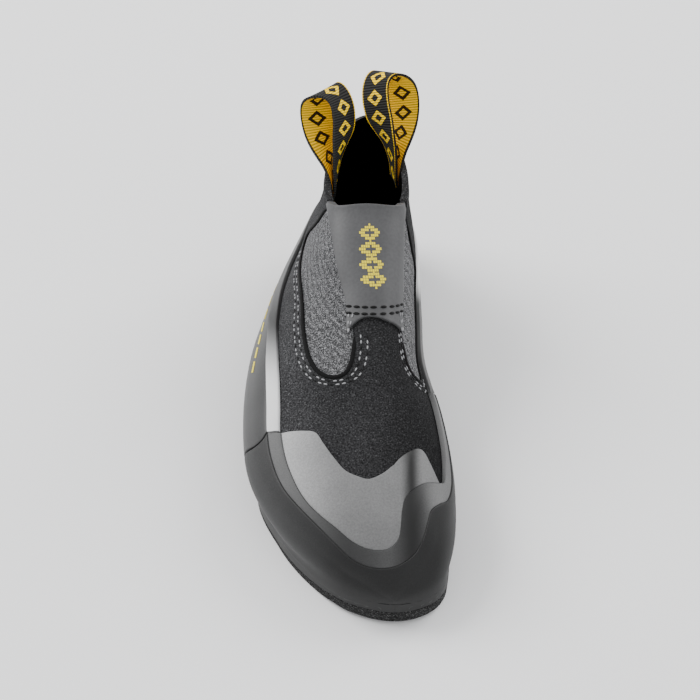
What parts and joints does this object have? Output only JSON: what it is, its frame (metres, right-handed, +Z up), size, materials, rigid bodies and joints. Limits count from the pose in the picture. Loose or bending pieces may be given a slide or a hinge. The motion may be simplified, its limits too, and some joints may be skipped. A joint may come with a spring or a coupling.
{
  "type": "climbing shoe",
  "caption": "Slip-on climbing shoe for the right foot, with a rubber toe, a tensioned heel rand, stretch gores and webbing pull loops at the collar.",
  "frame": {"origin": "middle of the flat spot under the heel, on the floor", "axes": "+Z up, +Y from the toe to the heel, +X to the big toe's side"},
  "size_m": [0.0868, 0.2356, 0.1167],
  "materials": {
    "suede": "napped black microsuede",
    "elastic": "grey heather twill, stretch",
    "coated_band": "smooth coated microfibre, satin",
    "patch_rubber": "powdery light grey",
    "band_rubber": "moulded mid grey, satin",
    "rand_rubber": "black, satin",
    "sling_rubber": "dark grey, satin",
    "board": "matt stiff board",
    "lining_board": "matt lined board",
    "sole_rubber": "black, ground matt",
    "webbing": "ribbed yellow and black weave"
  },
  "bodies": {
    "root": {"upper": "suede", "gore_lateral": "elastic", "gore_medial": "elastic", "instep_band": "coated_band", "toe_patch": "patch_rubber", "toe_band": "band_rubber", "toe_rand": "rand_rubber", "heel_rand": "sling_rubber", "midsole": "board", "insole": "lining_board", "outsole": "sole_rubber", "heel_sole": "sole_rubber", "pull_loop_lateral": "webbing", "pull_loop_medial": "webbing"}
  },
  "joints": []
}
